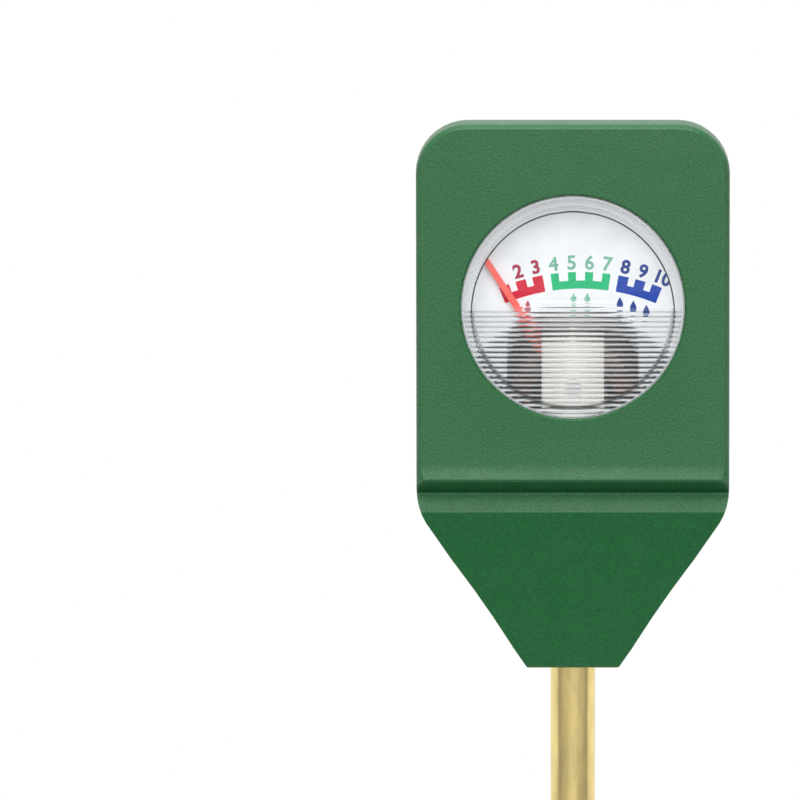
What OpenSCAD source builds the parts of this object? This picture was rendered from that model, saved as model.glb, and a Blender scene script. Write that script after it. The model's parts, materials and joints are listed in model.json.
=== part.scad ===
// Soil moisture meter: a two-shell head with a round window over a moving-coil
// meter, on a brass probe. Millimetres, +Z up, front towards -Y. The origin is
// on the probe's axis, at the point where the probe leaves the head.

/* [Head] */
// Width of the head at the parting line
head_w = 41.8; // [39:0.1:46]
// Height of the head above the point where the probe leaves it
head_top = 72.7; // [70:0.1:80]
// Depth of the front shell, from the parting line to the front face
front_depth = 13.5; // [13:0.5:16]
// Depth of the rear cover, from the parting line to the back face
rear_depth = 12; // [11:0.5:15]
// Radius of the two top corners
corner_r = 7; // [5:0.5:9]
// Radius of the two shoulders, where the sides turn into the taper
shoulder_r = 9; // [5:0.5:11]
// Height of the shoulders, where the taper would meet the sides
shoulder_z = 21.2; // [20:0.2:23]
// Width of the head's lower end
foot_w = 12.4; // [11:0.2:15]
// How far the taper's sides curve inwards, halfway up
taper_hollow = 0.65; // [0.1:0.05:1]
// Depth of the taper's lower end, on each side of the parting line
foot_depth = 6.6; // [6:0.1:8]
// How much narrower the faces are than the parting line, on each side
draft = 0.35; // [0.1:0.05:0.6]
// Rounding of the edges round the front and back faces
edge_r = 1; // [0.6:0.1:1.2]
// Wall thickness of both shells
wall = 2; // [1.8:0.1:2.2]

/* [Waist] */
// Height of the lip that ends the upper block
lip_z = 25.6; // [25.2:0.1:26.2]
// How far the lip flares out of the face
lip_flare = 0.4; // [0.1:0.05:0.6]
// Height over which the face flares out to the lip
flare_h = 1.6; // [1.4:0.1:4]
// Depth of the groove below the lip, behind the face
groove_depth = 3.1; // [2.4:0.1:3.4]
// Height of the lip above the groove's bottom
groove_drop = 1.75; // [1.5:0.05:2.2]
// How far the taper's upper edge stands out of the groove
bead_out = 1.3; // [0.8:0.1:1.8]
// Height of the groove's lower wall
bead_drop = 2.5; // [1.8:0.1:2.8]

/* [Case joint] */
// Height of the tongue on the front shell
tongue_h = 1.2; // [0.8:0.1:1.6]
// Thickness of the tongue
tongue_t = 0.8; // [0.6:0.1:1]
// Distance from the head's sides to the case screws
screw_inset = 4.9; // [4.7:0.1:5.5]
// Distance from the head's top to the upper case screws
screw_drop = 5; // [4.8:0.1:6]
// Height of the lower case screws above the lip
screw_rise = 3; // [2.8:0.1:4]
// Radius of the case screws' shanks
screw_r = 1.1; // [0.9:0.1:1.3]
// Radius of the case screws' heads
screw_head_r = 2; // [1.8:0.1:2.2]
// Thickness of the case screws' heads
screw_head_h = 1.3; // [1:0.1:1.6]
// How far the case screws' heads lie below the back face
screw_recess = 0.9; // [0.5:0.1:1]
// Wall of the screw bosses around the screws
boss_wall = 1.3; // [1:0.1:1.5]

/* [Window] */
// Height of the window's centre
window_z = 48.4; // [47.6:0.1:50]
// Radius of the window in the front shell
window_r = 14.7; // [14:0.1:15.3]
// Bevel round the window's front edge
window_bevel = 0.2; // [0.1:0.05:0.4]

/* [Lens] */
// How far the lens's rim lies behind the face
lens_recess = 0.4; // [0.2:0.1:0.8]
// Height of the lens's dome above its rim
lens_dome = 0.4; // [0.2:0.05:0.6]
// Thickness of the lens at its rim
lens_wall = 1.7; // [1.6:0.1:2]
// Width of the flange outside the window
flange_w = 1.5; // [1:0.1:2]
// Thickness of the flange
flange_t = 1; // [0.8:0.1:1.2]
// Radius inside the skirt
skirt_bore_r = 13.2; // [12.5:0.1:13.4]
// How far the skirt's bore lies below the window's centre
skirt_drop = 0.8; // [0:0.1:1]
// Spacing of the ribs across the lower half of the lens
rib_pitch = 0.67; // [0.6:0.01:0.9]
// Depth of the grooves between the ribs
rib_depth = 0.2; // [0.1:0.02:0.3]
// Height of the first rib above the window's centre
rib_start = 1.8; // [0:0.1:4]
// Rise of the ribbed plane for each millimetre of height
rib_slope = 0.066; // [0.04:0.002:0.08]

/* [Dial] */
// Distance from the face back to the dial
dial_drop = 5.3; // [5:0.1:6]
// Thickness of the dial plate
dial_t = 0.4; // [0.3:0.1:0.6]
// Height of the dial's straight top edge above the window's centre
dial_top = 12.1; // [11.5:0.1:13]
// Width of the cut-out round the movement
cutout_w = 17.4; // [17.2:0.2:18]
// Height of the cut-out above the pointer's axis
cutout_rise = 9.9; // [9:0.1:10.5]
// Corner radius of the cut-out
cutout_r = 5; // [3:0.5:7]

/* [Meter tub] */
// Wall thickness of the tub
tub_wall = 1; // [0.8:0.1:1.2]
// Half width of the tub's lower part
tub_half_w = 10.6; // [10.2:0.1:11.5]
// Width of the ledge that carries the dial
ledge_w = 1.1; // [0.8:0.1:1.2]
// Radius of the posts that carry the tub and the movement
post_r = 1.2; // [1:0.1:1.4]

/* [Movement] */
// Height of the pointer's axis
pivot_z = 37.3; // [37:0.1:38]
// Outer radius of the yoke ring
yoke_r = 8.5; // [8:0.1:8.6]
// Inner radius of the yoke ring
yoke_bore_r = 5.7; // [5.6:0.1:6]
// Radius of the core magnet
core_r = 4; // [3.6:0.1:4.1]
// Length of the yoke ring and the core along the axis
core_len = 7; // [6:0.5:8]
// Width of the brackets that carry the core
bracket_w = 1.8; // [1.4:0.1:2.2]
// Gap between the core and the coil former
coil_gap = 0.3; // [0.2:0.05:0.4]
// Thickness of the coil former's metal
former_t = 0.2; // [0.15:0.05:0.25]
// Thickness of the winding
winding_t = 0.65; // [0.4:0.05:0.7]
// Width of the winding
winding_w = 1.4; // [1:0.1:1.8]

/* [Bridges] */
// Half width of the front bridge
bridge_half_w = 4.1; // [3.9:0.1:4.5]
// Height of the front bridge above the pointer's axis
bridge_rise = 7.2; // [6:0.1:7.5]
// Thickness of both bridges
bridge_t = 0.8; // [0.7:0.1:0.9]
// Gap between the lens's flange and the front bridge
bridge_gap = 0.1; // [0.1:0.05:0.3]
// Room between the winding and the rear bridge, and between that and the tub's floor
rear_room = 0.9; // [0.8:0.1:1]
// Angle of the front bridge's feet, from straight up
foot_angle = 128; // [125:1:132]
// Radius of the bridges' feet
foot_r = 1; // [0.8:0.1:1.1]
// Radius of the jewel screws
jewel_r = 1.1; // [0.9:0.1:1.3]
// Radius of the stop pins and of the hairsprings' studs
pin_r = 0.3; // [0.2:0.05:0.35]
// Distance of the stop pins from the pointer's axis
stop_at = 3.4; // [3.2:0.1:3.5]
// Distance of the hairsprings' studs from the pointer's axis
stud_at = 2.9; // [2.8:0.05:3.1]

/* [Pointer] */
// Length of the pointer from its axis
pointer_len = 21.3; // [19:0.1:21.5]
// Width of the pointer at its tip
pointer_tip_w = 0.55; // [0.3:0.05:0.8]
// Width of the pointer at its hub
pointer_w = 0.9; // [0.7:0.05:1.1]
// Thickness of the pointer
pointer_t = 0.3; // [0.2:0.05:0.35]
// Gap between the front bridge and the pointer
pointer_gap = 0.35; // [0.3:0.05:0.4]
// Room for the front hairspring between the pointer and the winding
spring_room = 0.7; // [0.6:0.05:0.8]
// Radius of the pointer's hub
hub_r = 1.2; // [0.9:0.1:1.4]
// Length of the two balance arms
balance_len = 4.9; // [4.4:0.1:5.1]
// Width of the two balance arms
arm_w = 0.5; // [0.4:0.05:0.6]
// Angle of each balance arm from the pointer's line
balance_angle = 35; // [28:1:38]
// Radius of the balance weights
weight_r = 0.42; // [0.35:0.01:0.45]
// Angle at which the pointer rests, left of straight up
rest_angle = 33.6; // [32:0.2:36]
// Angle from the pointer's rest to its right stop
travel = 74; // [70:0.5:75]

/* [Hairsprings] */
// Inner radius of the hairsprings
spring_in = 0.75; // [0.65:0.05:0.9]
// Outer radius of the hairsprings
spring_out = 2.4; // [2.1:0.05:2.45]
// Number of turns
spring_turns = 4.5; // [3.5:1:6.5]
// Thickness of the hairspring strip
strip_t = 0.09; // [0.05:0.01:0.12]
// Width of the hairspring strip
strip_w = 0.2; // [0.15:0.05:0.25]
// Radius of the pivot staffs
staff_r = 0.25; // [0.2:0.01:0.3]

/* [Probe] */
// Outer radius of the probe tube
tube_r = 3; // [2.8:0.05:3.4]
// Wall thickness of the probe tube
tube_wall = 0.8; // [0.7:0.05:1]
// How much thinner the tube is inside the head, on each side
neck_step = 0.4; // [0.3:0.05:0.5]
// Length of the probe tube below the head
tube_out = 96; // [60:1:190]
// Height of the tube's upper end inside the head
tube_in = 19; // [18:0.5:19.5]
// Thickness of the insulating ring's rim
ring_h = 2; // [1.5:0.1:3]
// Length of the insulators' spigots inside the tube
spigot_len = 6; // [4:0.5:8]
// Length of the probe's tip
tip_len = 12; // [9:0.5:15]
// Straight part of the tip above its cone
tip_straight = 3; // [2:0.5:4]
// Radius of the tip's point
tip_point_r = 0.5; // [0.3:0.1:0.8]
// Radius of the inner rod
rod_r = 0.8; // [0.6:0.05:1]
// Length of the inner rod above the tube
rod_out = 6.2; // [5:0.2:6.6]
// Height of the lower rib that holds the retaining ring
clip_z = 8.4; // [8:0.2:9]
// Thickness of the ribs round the tube
rib_t = 1.5; // [1.2:0.1:1.6]
// Thickness of the retaining ring
clip_t = 1.2; // [1:0.1:1.4]
// Width of the retaining ring round the tube
clip_w = 1.5; // [1.2:0.1:1.7]
// Radius of the leads
lead_r = 0.55; // [0.4:0.05:0.65]

/* [Clearances] */
// Gap between pieces that slide together
slide_gap = 0.1; // [0.05:0.01:0.15]
// Gap round the pivots
pivot_gap = 0.05; // [0.02:0.01:0.08]
// Gap round screws in their holes
screw_gap = 0.02; // [0.01:0.01:0.05]

/* [Hidden] */
$fn = 64;
tiny = 0.01;
fuse = 0.2;

// Depths are distances in front of the parting line, so they run towards -Y.
inner_depth = front_depth - wall;
rim_depth = front_depth - lens_recess;
lens_in_depth = rim_depth - lens_wall;
flange_r = window_r + flange_w;
lens_r = window_r - slide_gap;
tub_front = inner_depth - flange_t;
dial_depth = front_depth - dial_drop;
ledge_depth = dial_depth - dial_t;
bridge_front = tub_front - bridge_gap;
bridge_back = bridge_front - bridge_t;
pointer_depth = bridge_back - pointer_gap;
pointer_back = pointer_depth - pointer_t;
coil_front = pointer_back - spring_room;
yoke_front = coil_front - winding_t - former_t - coil_gap;
yoke_back = yoke_front - core_len;
coil_back = yoke_back - coil_gap - former_t - winding_t;
rear_bridge_front = coil_back - rear_room;
rear_bridge_back = rear_bridge_front - bridge_t;
tub_floor = rear_bridge_back - rear_room;
tub_back = tub_floor - tub_wall;
rear_inner = rear_depth - wall;

boss_r = screw_r + boss_wall;
screw_x = head_w / 2 - screw_inset;
screw_high = head_top - screw_drop;
screw_low = lip_z + screw_rise;
head_seat = rear_depth - screw_head_h - screw_recess;
screw_end = inner_depth - 3;
hole_spare = 0.5;
tongue_root = 0.5;
slot_w = 0.5;

// Radii of the corners of the head's outline and of its side profile.
foot_corner_r = 0.6;
foot_edge_r = 0.8;
bead_r = 0.3;
groove_r = 0.3;
lip_r = 0.4;
flare_r = 5;
taper_steps = 6;

foot_ring_r = (yoke_r + yoke_bore_r) / 2;
foot_x = foot_ring_r * sin(foot_angle);
foot_z = pivot_z + foot_ring_r * cos(foot_angle);
tub_bottom = pivot_z - yoke_r - slide_gap - tub_wall;
spring_front = (pointer_back + coil_front) / 2 + strip_w / 2;
spring_back = (coil_back + rear_bridge_front) / 2 + strip_w / 2;
stud_angle = 80;
weight_start = stop_at + pin_r + slide_gap;
stop_play = 0.5;
thread_in = 2;
bracket_inset = 1;
former_rim = 0.3;
index_w = 0.6;
index_rise = 0.6;
bridge_end_r = foot_r + 0.5;

// The pivots and the jewel screws that hold them.
pivot_in = 0.4;
cup_depth = pivot_in + pivot_gap;
staff_flange_r = 0.6;
staff_flange_t = 0.15;
jewel_stand = 0.25;
jewel_slot_w = 0.35;
jewel_slot_h = 0.25;

// The small screws: shank radius, head radius, head thickness, slot width.
frame_screw = [0.5, 1.1, 0.8, 0.35];
bridge_screw = [0.4, 0.75, 0.3, 0.25];

// The posts in the rear cover that the tub stands on.
upper_post = [window_r - 4.5, window_z + 9];
lower_post = [tub_half_w - 2.4, tub_bottom + 2.6];

// The solder tags on the tub's back, and the tabs of both lugs on the probe.
tag_x = 6;
tag_z = window_z + 3;
tag_len = 5;
tag_r = 1.6;
tag_end_r = 1;
tag_hole_r = 0.6;
lug_r = 2;
lug_reach = 5.4;
lug_hole_r = 0.4;
tube_lug_z = 14;
tube_lug_h = 2;
tab_w = 0.6;
nut_r = 2.2;
nut_h = 1.6;
clip_slit = 1;
neck_r = tube_r - neck_step;
bore_r = tube_r - tube_wall;
spigot_r = bore_r - pivot_gap;
ring_z = -tube_out - ring_h;
rod_top = tube_in + rod_out;
bush_flange_h = 1;
lug_t = 0.4;
clip_low = clip_z + rib_t + slide_gap;

// The leads' routes, from the lugs on the probe to the solder tags.
red_route = [
    [0, 5.4, 20.5], [0.6, 5.4, 22.4], [2.4, 5.6, 25], [4.4, 6.6, 30],
    [5.2, 7.2, 37], [5.6, 7.2, 45], [6, 6.8, 53.4], [6, 5.8, 56]
];
black_route = [
    [-5.6, 0, 15], [-6, 1.6, 15.6], [-6, 4, 18], [-5.6, 5.4, 22],
    [-5.2, 6, 26], [-5, 7, 34], [-5.4, 7.2, 44], [-6, 6.8, 53.4], [-6, 5.8, 56]
];

// Rounds the corners of an outline. A corner with radius 0 stays sharp.
function rounded(points, radii) = [
    for (i = [0 : len(points) - 1])
        let (
            p = points[i],
            to_last = points[(i + len(points) - 1) % len(points)] - p,
            to_next = points[(i + 1) % len(points)] - p,
            u = to_last / norm(to_last),
            v = to_next / norm(to_next),
            half = acos(u * v) / 2,
            centre = p + (u + v) / norm(u + v) * radii[i] / sin(half),
            from = p + u * radii[i] / tan(half) - centre,
            turn = (u[0] * v[1] - u[1] * v[0] > 0 ? -1 : 1) * (180 - 2 * half),
            steps = ceil(abs(turn) / 9)
        )
        each radii[i] == 0 ? [p] : [
            for (s = [0 : steps])
                let (t = turn * s / steps)
                centre + [from[0] * cos(t) - from[1] * sin(t), from[0] * sin(t) + from[1] * cos(t)]
        ]
];

// Draws a front-view shape as a slab between two depths.
module slab(front, back) {
    translate([0, -back, 0]) rotate([90, 0, 0]) linear_extrude(front - back) children();
}

// A round bar along the depth, between two depths, at a place in the front view.
module bar(x, z, r, front, back) {
    translate([x, -back, z]) rotate([90, 0, 0]) cylinder(r = r, h = front - back);
}

// Turns a shape about the pointer's axis, clockwise as seen from the front.
module turned(angle) {
    translate([0, 0, pivot_z]) rotate([0, angle, 0]) children();
}

// One side of the taper, from the foot up to the shoulder.
function taper_side(side) = [
    for (i = [0 : taper_steps])
        let (t = i / taper_steps, hollow = 4 * taper_hollow * t * (1 - t))
        [side * (foot_w / 2 + (head_w - foot_w) / 2 * t - hollow), shoulder_z * t]
];

// The head's outline from the front, drawn a given distance inside the parting line.
module head_outline(inset) {
    left = taper_side(-1);
    straight = [for (i = [2 : taper_steps]) 0];
    offset(delta = -inset) polygon(rounded(
        concat([for (i = [taper_steps : -1 : 0]) left[i]], taper_side(1),
            [[head_w / 2, head_top], [-head_w / 2, head_top]]),
        concat([shoulder_r], straight, [foot_corner_r, foot_corner_r], straight,
            [shoulder_r, corner_r, corner_r])));
}

// One half of the head from the side: the taper, the groove, the lip and the face.
module side_profile(depth, flare) {
    groove_z = lip_z - groove_drop;
    groove = depth - groove_depth;
    points = [
        [-depth, 0], [foot_depth, 0], [groove + bead_out, groove_z - bead_drop],
        [groove, groove_z], [depth + flare, lip_z],
        if (flare > 0) [depth, lip_z + flare_h],
        [depth, head_top], [-depth, head_top]
    ];
    radii = [0, foot_edge_r, bead_r, groove_r, lip_r, if (flare > 0) flare_r, edge_r, 0];
    polygon(rounded(points, radii));
}

module profile_prism(depth, inset, flare = 0) {
    rotate([90, 0, -90]) linear_extrude(2 * head_w, center = true)
        offset(delta = -inset) side_profile(depth, flare);
}

// One half of the head: the outline with its draft and its rounded face edges,
// cut to the side profile and the taper's curve, with its flat side on the parting line.
module outer_half(depth, flare = 0) {
    intersection() {
        hull() {
            slab(tiny, 0) head_outline(0);
            for (a = [0 : 30 : 90])
                slab(depth - edge_r * (1 - sin(a)), depth - edge_r * (1 - sin(a)) - tiny)
                    head_outline(draft + edge_r * (1 - cos(a)));
            if (flare > 0) slab(depth + flare, depth) head_outline(draft + edge_r);
        }
        profile_prism(depth, 0, flare);
        slab(depth + 1, -1) polygon(concat(
            [[-foot_w / 2, -1]], [for (i = [0 : taper_steps]) taper_side(-1)[i]],
            [[-head_w, shoulder_z], [-head_w, head_top + 1], [head_w, head_top + 1],
             [head_w, shoulder_z]],
            [for (i = [taper_steps : -1 : 0]) taper_side(1)[i]], [[foot_w / 2, -1]]));
    }
}

// The space inside one half.
module cavity(depth, inset = wall) {
    intersection() {
        slab(depth, -1) head_outline(inset + draft);
        profile_prism(depth, inset);
    }
}

module at_case_screws() {
    for (x = [-screw_x, screw_x], z = [screw_low, screw_high]) translate([x, 0, z]) children();
}

// Ribs inside one shell that hold the probe tube and its retaining ring.
module probe_ribs(depth) {
    intersection() {
        cavity(depth, wall - fuse);
        for (z = [clip_z, clip_low + clip_t + slide_gap])
            translate([-head_w / 2, -depth, z]) cube([head_w, depth, rib_t]);
    }
}

module probe_hole() {
    translate([0, 0, -1]) cylinder(r = neck_r + pivot_gap, h = tube_in);
}

module front_shell() {
    color("seagreen") difference() {
        union() {
            difference() {
                outer_half(front_depth, lip_flare);
                cavity(front_depth);
            }
            slab(tongue_root, -tongue_h) difference() {
                head_outline(wall + draft - tongue_t);
                head_outline(wall + draft);
            }
            at_case_screws() bar(0, 0, boss_r, inner_depth + fuse, 0);
            probe_ribs(front_depth);
        }
        bar(0, window_z, window_r, front_depth + 1, inner_depth - 1);
        translate([0, window_bevel - front_depth, window_z]) rotate([90, 0, 0])
            cylinder(r1 = window_r, r2 = window_r + 2 * window_bevel, h = 2 * window_bevel);
        at_case_screws() bar(0, 0, screw_r + screw_gap, screw_end + hole_spare, -1);
        probe_hole();
    }
}

module rear_cover() {
    color("seagreen") difference() {
        mirror([0, 1, 0]) difference() {
            union() {
                difference() {
                    outer_half(rear_depth);
                    cavity(rear_depth);
                }
                at_case_screws() bar(0, 0, boss_r, rear_inner + fuse, 0);
                for (side = [-1, 1], post = [upper_post, lower_post])
                    bar(side * post[0], post[1], post_r, rear_inner + fuse, -tub_back);
                probe_ribs(rear_depth);
            }
            slab(tongue_h + slide_gap, -1) difference() {
                head_outline(wall + draft - tongue_t - slide_gap);
                head_outline(wall + draft + 1);
            }
            at_case_screws() {
                bar(0, 0, screw_r + slide_gap, rear_depth + 1, -1);
                bar(0, 0, screw_head_r + slide_gap, rear_depth + 1, head_seat);
            }
        }
        probe_hole();
    }
}

module case_screws() {
    color("silver") at_case_screws() difference() {
        union() {
            bar(0, 0, screw_r, screw_end, -head_seat);
            bar(0, 0, screw_head_r, -head_seat, -head_seat - screw_head_h);
        }
        for (turn = [0, 90])
            translate([0, head_seat + screw_head_h, 0]) rotate([0, turn, 0])
                cube([slot_w, screw_head_h, 1.2 * screw_head_r], center = true);
    }
}

// The ribbed plane of the lens: everything in front of it is cut away. It leans
// back towards the bottom, so that the grooves grow out of the dome along an arc.
module rib_cut() {
    apex = rim_depth + lens_dome;
    count = ceil((rib_start + window_r + 1) / rib_pitch);
    function plane(drop) = apex - rib_slope * drop;
    translate([0, 0, window_z + rib_start]) rotate([90, 0, -90])
        linear_extrude(2 * flange_r, center = true)
            polygon([
                [apex + 2, 0],
                for (i = [0 : count]) each [
                    [plane(i * rib_pitch) + rib_depth, -i * rib_pitch],
                    [plane((i + 0.5) * rib_pitch), -(i + 0.5) * rib_pitch]
                ],
                [apex + 2, -(count + 1) * rib_pitch]
            ]);
}

module lens() {
    dome_steps = 9;
    function dome(i) = rim_depth + lens_dome * (1 - pow(i / dome_steps, 2));
    color([0.9, 0.93, 0.95, 0.4]) difference() {
        translate([0, 0, window_z]) rotate([90, 0, 0]) rotate_extrude($fn = 96)
            polygon([
                [0, tub_front], [flange_r, tub_front], [flange_r, inner_depth], [lens_r, inner_depth],
                for (i = [dome_steps : -1 : 1]) [lens_r * i / dome_steps, dome(i)],
                [0, dome(1)]
            ]);
        bar(0, window_z - skirt_drop, skirt_bore_r, lens_in_depth, tub_front - 1);
        rib_cut();
    }
}

module dial_plate() {
    color("white") slab(dial_depth, ledge_depth) difference() {
        intersection() {
            translate([0, window_z]) circle(flange_r - tub_wall - slide_gap);
            translate([-flange_r, 0]) square([2 * flange_r, window_z + dial_top]);
        }
        polygon(rounded(
            [[-cutout_w / 2, 0], [cutout_w / 2, 0], [cutout_w / 2, pivot_z + cutout_rise],
             [-cutout_w / 2, pivot_z + cutout_rise]],
            [0, 0, cutout_r, cutout_r]));
    }
}

module tub_outline(inset) {
    translate([0, window_z]) circle(flange_r - inset);
    translate([inset - tub_half_w, tub_bottom + inset])
        square([2 * (tub_half_w - inset), window_z - tub_bottom - inset]);
}

module meter_tub() {
    color("lightgray") difference() {
        slab(tub_front, tub_back) tub_outline(0);
        difference() {
            slab(tub_front + 1, tub_floor) tub_outline(tub_wall);
            // the ledge behind the dial, wide above it, and the posts behind the yoke ring
            slab(ledge_depth, tub_floor - 1) difference() {
                translate([0, window_z]) circle(flange_r);
                difference() {
                    translate([0, window_z]) circle(flange_r - tub_wall - ledge_w);
                    translate([-flange_r, window_z + dial_top - ledge_w]) square(2 * flange_r);
                }
                translate([-tub_half_w, 0]) square([2 * tub_half_w, window_z]);
            }
            for (end = [-1, 1])
                bar(0, pivot_z + end * foot_ring_r, post_r, yoke_back, tub_floor - 1);
        }
        for (end = [-1, 1])
            bar(0, pivot_z + end * foot_ring_r, frame_screw[0] + screw_gap,
                yoke_back + 1, tub_back - 1);
    }
}

// A slotted screw along the depth, its head towards the front.
module slotted_screw(size, seat, end) {
    difference() {
        union() {
            bar(0, 0, size[0], seat, end);
            bar(0, 0, size[1], seat + size[2], seat);
        }
        translate([0, -seat - size[2], 0]) cube([size[3], size[2], 3 * size[1]], center = true);
    }
}

module movement_screws() {
    color("silver") for (end = [-1, 1]) translate([0, 0, pivot_z + end * foot_ring_r])
        mirror([0, 1, 0]) slotted_screw(frame_screw, -tub_back, -yoke_back - thread_in);
}

module yoke_ring() {
    color("dimgray") difference() {
        bar(0, pivot_z, yoke_r, yoke_front, yoke_back);
        bar(0, pivot_z, yoke_bore_r, yoke_front + 1, yoke_back - 1);
        for (end = [-1, 1])
            bar(0, pivot_z + end * foot_ring_r, frame_screw[0] + screw_gap,
                yoke_back + thread_in + fuse, yoke_back - 1);
    }
}

module core_magnet() {
    color("gray") bar(0, pivot_z, core_r, yoke_front, yoke_back);
}

module core_brackets() {
    color("tan") for (up = [-1, 1]) intersection() {
        translate([-bracket_w / 2, bracket_inset - yoke_front, pivot_z + (up < 0 ? -yoke_bore_r : 0)])
            cube([bracket_w, core_len - 2 * bracket_inset, yoke_bore_r]);
        difference() {
            bar(0, pivot_z, yoke_bore_r, yoke_front, yoke_back);
            bar(0, pivot_z, core_r, yoke_front + 1, yoke_back - 1);
        }
    }
}

module at_front_feet() {
    for (side = [-1, 1]) translate([side * foot_x, 0, foot_z]) children();
}

module front_bridge() {
    head_depth = bridge_front - bridge_screw[2];
    color("cornsilk") difference() {
        union() {
            slab(bridge_front, bridge_back) {
                translate([-bridge_half_w, foot_z])
                    square([2 * bridge_half_w, pivot_z + bridge_rise - foot_z]);
                translate([-index_w / 2, pivot_z]) square([index_w, bridge_rise + index_rise]);
                hull() for (side = [-1, 1]) translate([side * foot_x, foot_z]) circle(foot_r, $fn = 32);
            }
            at_front_feet() bar(0, 0, foot_r - slide_gap, bridge_front - tiny, yoke_front);
        }
        bar(0, pivot_z, jewel_r, bridge_front + 1, bridge_back - 1);
        at_front_feet() {
            bar(0, 0, bridge_screw[0] + screw_gap, bridge_front, yoke_front - 1);
            bar(0, 0, bridge_screw[1] + screw_gap, bridge_front + 1, head_depth);
        }
    }
}

module rear_bridge() {
    color("cornsilk") difference() {
        union() {
            slab(rear_bridge_front, rear_bridge_back) hull()
                for (side = [-1, 1])
                    translate([side * foot_ring_r, pivot_z]) circle(bridge_end_r, $fn = 32);
            for (side = [-1, 1])
                bar(side * foot_ring_r, pivot_z, foot_r, yoke_back, rear_bridge_back);
        }
        bar(0, pivot_z, jewel_r, rear_bridge_front + 1, rear_bridge_back - 1);
    }
}

module bridge_screws() {
    color("silver") at_front_feet()
        slotted_screw(bridge_screw, bridge_front - bridge_screw[2], yoke_front);
}

// A slotted screw with a blind hole for the pivot. It faces the front.
module jewel_screw(bridge_face, back) {
    front = bridge_face + jewel_stand;
    difference() {
        bar(0, pivot_z, jewel_r, front, back);
        translate([0, -front, pivot_z])
            cube([jewel_slot_w, 2 * jewel_slot_h, 3 * jewel_r], center = true);
        bar(0, pivot_z, staff_r + pivot_gap, back + cup_depth, back - 1);
    }
}

module jewel_screw_front() {
    color("goldenrod") jewel_screw(bridge_front, bridge_back);
}

module jewel_screw_rear() {
    color("goldenrod") mirror([0, 1, 0]) jewel_screw(-rear_bridge_back, -rear_bridge_front);
}

// A rectangular ring round the core, in its place at mid scale.
module coil_frame(inner, thickness, width) {
    gap = inner - core_r;
    difference() {
        translate([-inner - thickness, -yoke_front - gap - thickness, -width / 2])
            cube([2 * (inner + thickness), core_len + 2 * (gap + thickness), width]);
        translate([-inner, -yoke_front - gap, -width])
            cube([2 * inner, core_len + 2 * gap, 2 * width]);
    }
}

module coil_former() {
    color("silver") turned(-travel / 2)
        coil_frame(core_r + coil_gap, former_t, winding_w + former_rim);
}

module moving_coil() {
    color("peru") turned(-travel / 2)
        coil_frame(core_r + coil_gap + former_t, winding_t, winding_w);
}

module pivot_staffs() {
    color("silver") {
        bar(0, pivot_z, staff_r, bridge_back + pivot_in, coil_front);
        bar(0, pivot_z, staff_flange_r, coil_front + staff_flange_t, coil_front);
        bar(0, pivot_z, staff_r, coil_back, rear_bridge_front - pivot_in);
        bar(0, pivot_z, staff_flange_r, coil_back, coil_back - staff_flange_t);
    }
}

module pointer() {
    color("tomato") turned(-rest_angle) slab(pointer_depth, pointer_back) difference() {
        union() {
            circle(hub_r);
            polygon([[-pointer_w / 2, 0], [pointer_w / 2, 0],
                [pointer_tip_w / 2, pointer_len], [-pointer_tip_w / 2, pointer_len]]);
            for (side = [-1, 1]) rotate(180 + side * balance_angle)
                translate([-arm_w / 2, 0]) square([arm_w, balance_len]);
        }
        circle(staff_r);
    }
}

module balance_weights() {
    middle = (pointer_depth + pointer_back) / 2;
    color("goldenrod") turned(-rest_angle) for (side = [-1, 1])
        rotate([0, 180 + side * balance_angle, 0]) difference() {
            translate([0, -middle, weight_start])
                cylinder(r = weight_r, h = balance_len - slide_gap - weight_start);
            translate([-arm_w / 2, -pointer_depth, 0]) cube([arm_w, pointer_t, balance_len]);
        }
}

// A flat spiral. Its outer end lies at the given angle, measured clockwise.
module hairspring(end_angle) {
    steps = 24 * spring_turns;
    function at(i, side) =
        let (
            r = spring_in + (spring_out - spring_in) * i / steps + side * strip_t / 2,
            a = end_angle - 360 * spring_turns * (1 - i / steps)
        )
        [r * sin(a), r * cos(a)];
    polygon(concat(
        [for (i = [0 : steps]) at(i, 1)],
        [for (i = [steps : -1 : 0]) at(i, -1)]));
}

// The collet on the staff and the spiral round it.
module spring_on_staff(front) {
    translate([0, 0, pivot_z]) {
        slab(front, front - strip_w) hairspring(stud_angle);
        slab(front, front - strip_w) difference() {
            circle(spring_in + strip_t / 4);
            circle(staff_r);
        }
    }
}

module hairspring_front() {
    color("gold") spring_on_staff(spring_front);
}

module hairspring_rear() {
    color("gold") spring_on_staff(spring_back);
}

module stud_at_angle(angle, distance, front, back) {
    bar(distance * sin(angle), pivot_z + distance * cos(angle), pin_r, front, back);
}

module spring_studs() {
    color("goldenrod") {
        stud_at_angle(stud_angle, stud_at, bridge_back, spring_front - strip_w);
        stud_at_angle(stud_angle, stud_at, spring_back, rear_bridge_front);
    }
}

// Each pin meets the edge of a balance arm at one end of the pointer's travel.
module stop_pins() {
    meet = asin((arm_w / 2 + pin_r) / stop_at) + stop_play;
    color("silver") for (angle = [-balance_angle - meet, balance_angle + travel + meet])
        stud_at_angle(180 - rest_angle + angle, stop_at, bridge_back, pointer_back - slide_gap);
}

module solder_tags() {
    color("gold") for (side = [-1, 1]) translate([side * tag_x, 0, tag_z])
        slab(tub_back, tub_back - lug_t) difference() {
            hull() {
                circle(tag_r, $fn = 32);
                translate([0, tag_len]) circle(tag_end_r, $fn = 32);
            }
            circle(tag_hole_r);
            translate([0, tag_len]) circle(lead_r);
        }
}

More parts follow.
